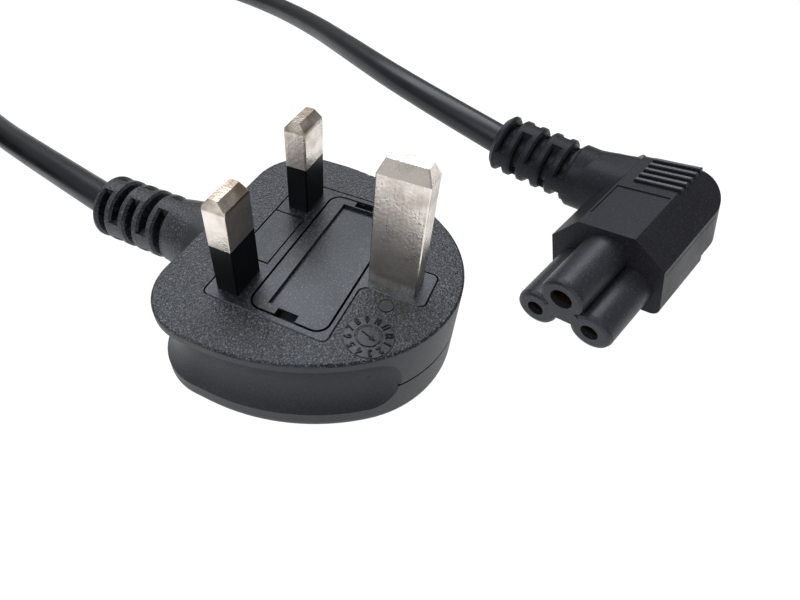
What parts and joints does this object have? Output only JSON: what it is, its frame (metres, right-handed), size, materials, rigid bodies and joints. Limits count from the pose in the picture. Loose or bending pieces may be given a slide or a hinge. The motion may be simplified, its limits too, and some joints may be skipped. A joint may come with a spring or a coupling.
{
  "type": "uk three pin plug",
  "caption": "Moulded fused three pin mains plug with a lift-out fuse carrier, on a flexible cord with a right-angled three-hole connector.",
  "frame": {"origin": "on the plug's flat back face, behind the middle of the line between the live and neutral pins", "axes": "+Z out of the engagement face along the pins, +Y from that line to the earth pin, +X to the neutral pin"},
  "size_m": [0.1965, 0.2665, 0.0402],
  "materials": {
    "plug_pvc": "spark eroded",
    "carrier_nylon": "satin",
    "sleeve_nylon": "satin",
    "insert_nylon": "satin",
    "connector_pvc": "satin",
    "cord_pvc": "semi-gloss",
    "pin_plate": "nickel plated brass, satin",
    "contact_brass": "bright",
    "fuse_ceramic": "glazed ceramic",
    "fuse_caps": "plated",
    "fuse_wire": "bare wire",
    "core_brown": "satin",
    "core_blue": "satin",
    "core_green_yellow": "satin"
  },
  "bodies": {
    "plug": {"plug_body": "plug_pvc", "pin_carrier": "carrier_nylon", "live_pin": "pin_plate", "neutral_pin": "pin_plate", "earth_pin": "pin_plate", "live_sleeve": "sleeve_nylon", "neutral_sleeve": "sleeve_nylon", "fuse_clip_live": "contact_brass", "fuse_clip_supply": "contact_brass", "core_live": "core_brown", "core_neutral": "core_blue", "core_earth": "core_green_yellow", "crimp_live": "contact_brass", "crimp_neutral": "contact_brass", "crimp_earth": "contact_brass", "cord_end_plug": "cord_pvc", "cord_lead": "cord_pvc", "cord_coil": "cord_pvc", "cord_far": "cord_pvc", "cord_end_connector": "cord_pvc", "connector_body": "connector_pvc", "connector_insert": "insert_nylon", "contact_live": "contact_brass", "contact_neutral": "contact_brass", "contact_earth": "contact_brass", "connector_core_live": "core_brown", "connector_core_neutral": "core_blue", "connector_core_earth": "core_green_yellow"},
    "fuse_carrier": {"fuse_carrier": "carrier_nylon", "fuse_tube": "fuse_ceramic", "fuse_cap_left": "fuse_caps", "fuse_cap_right": "fuse_caps", "fuse_wire": "fuse_wire"}
  },
  "joints": [
    {"name": "fuse_carrier_slide", "type": "slide", "parent": "plug", "child": "fuse_carrier", "axis": [0, 0, 1], "range_m": [0, 0.034]}
  ]
}
